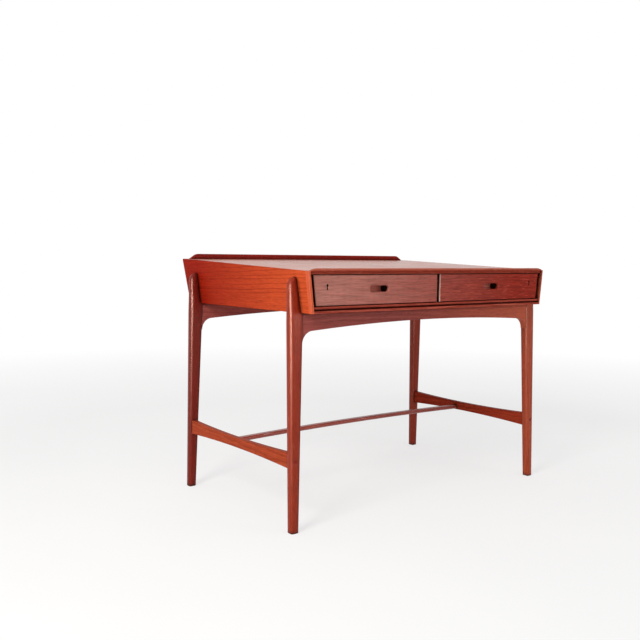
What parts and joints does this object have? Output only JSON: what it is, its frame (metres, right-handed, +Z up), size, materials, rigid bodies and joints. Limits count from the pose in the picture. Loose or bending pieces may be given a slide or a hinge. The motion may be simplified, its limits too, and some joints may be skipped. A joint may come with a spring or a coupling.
{
  "type": "writing desk",
  "caption": "Writing desk with a shallow leaning case, gently sloping top, front lip and back gallery, sliding drawers with finger slots, and tapered legs tied by aprons and a stretcher.",
  "frame": {"origin": "floor level, at the middle of the desk's width and depth", "axes": "+X across the desk to the right, +Y from the drawers to the back, +Z up"},
  "size_m": [1.04, 0.69, 0.7643],
  "materials": {
    "teak_top": "oiled teak veneer with a soft sheen",
    "teak_side": "oiled teak veneer, warm orange brown",
    "teak_front": "oiled teak, grain along the drawer",
    "teak_trim": "solid oiled teak, rounded edges",
    "teak_leg": "solid oiled teak, hand-worn edges",
    "teak_frame": "solid oiled teak",
    "carcase_wood": "plain teak-faced board",
    "drawer_wood": "pale bare hardwood",
    "lock_brass": "dulled brass"
  },
  "bodies": {
    "case": {"back_apron": "teak_frame", "back_gallery": "teak_trim", "back_panel": "carcase_wood", "bottom_panel": "carcase_wood", "centre_divider": "carcase_wood", "centre_stretcher": "teak_frame", "drawer_stops": "drawer_wood", "front_apron": "teak_frame", "front_bottom_rail": "teak_trim", "front_lip_rail": "teak_trim", "left_back_leg": "teak_leg", "left_front_leg": "teak_leg", "left_inner_kicker": "drawer_wood", "left_inner_runner": "drawer_wood", "left_outer_kicker": "drawer_wood", "left_outer_runner": "drawer_wood", "left_side_edging": "teak_trim", "left_side_panel": "teak_side", "left_side_stretcher": "teak_frame", "lock_strike_plates": "lock_brass", "right_back_leg": "teak_leg", "right_front_leg": "teak_leg", "right_inner_kicker": "drawer_wood", "right_inner_runner": "drawer_wood", "right_outer_kicker": "drawer_wood", "right_outer_runner": "drawer_wood", "right_side_edging": "teak_trim", "right_side_panel": "teak_side", "right_side_stretcher": "teak_frame", "stretcher_plugs": "teak_frame", "top_panel": "teak_top"},
    "left_drawer": {"left_drawer_front": "teak_front", "left_drawer_inner_side": "drawer_wood", "left_drawer_outer_side": "drawer_wood", "left_drawer_back": "drawer_wood", "left_drawer_bottom": "drawer_wood", "left_pull_block": "lock_brass", "left_lock_case": "lock_brass"},
    "left_bolt": {"left_lock_bolt": "lock_brass"},
    "right_drawer": {"right_drawer_front": "teak_front", "right_drawer_inner_side": "drawer_wood", "right_drawer_outer_side": "drawer_wood", "right_drawer_back": "drawer_wood", "right_drawer_bottom": "drawer_wood", "right_pull_block": "lock_brass", "right_lock_case": "lock_brass"},
    "right_bolt": {"right_lock_bolt": "lock_brass"}
  },
  "joints": [
    {"name": "left_drawer_slide", "type": "slide", "parent": "case", "child": "left_drawer", "axis": [0, -1, 0], "range_m": [0, 0.36]},
    {"name": "left_bolt_slide", "type": "slide", "parent": "left_drawer", "child": "left_bolt", "axis": [0, 0, 1], "range_m": [0, 0.006]},
    {"name": "right_drawer_slide", "type": "slide", "parent": "case", "child": "right_drawer", "axis": [0, -1, 0], "range_m": [0, 0.36]},
    {"name": "right_bolt_slide", "type": "slide", "parent": "right_drawer", "child": "right_bolt", "axis": [0, 0, 1], "range_m": [0, 0.006]}
  ]
}
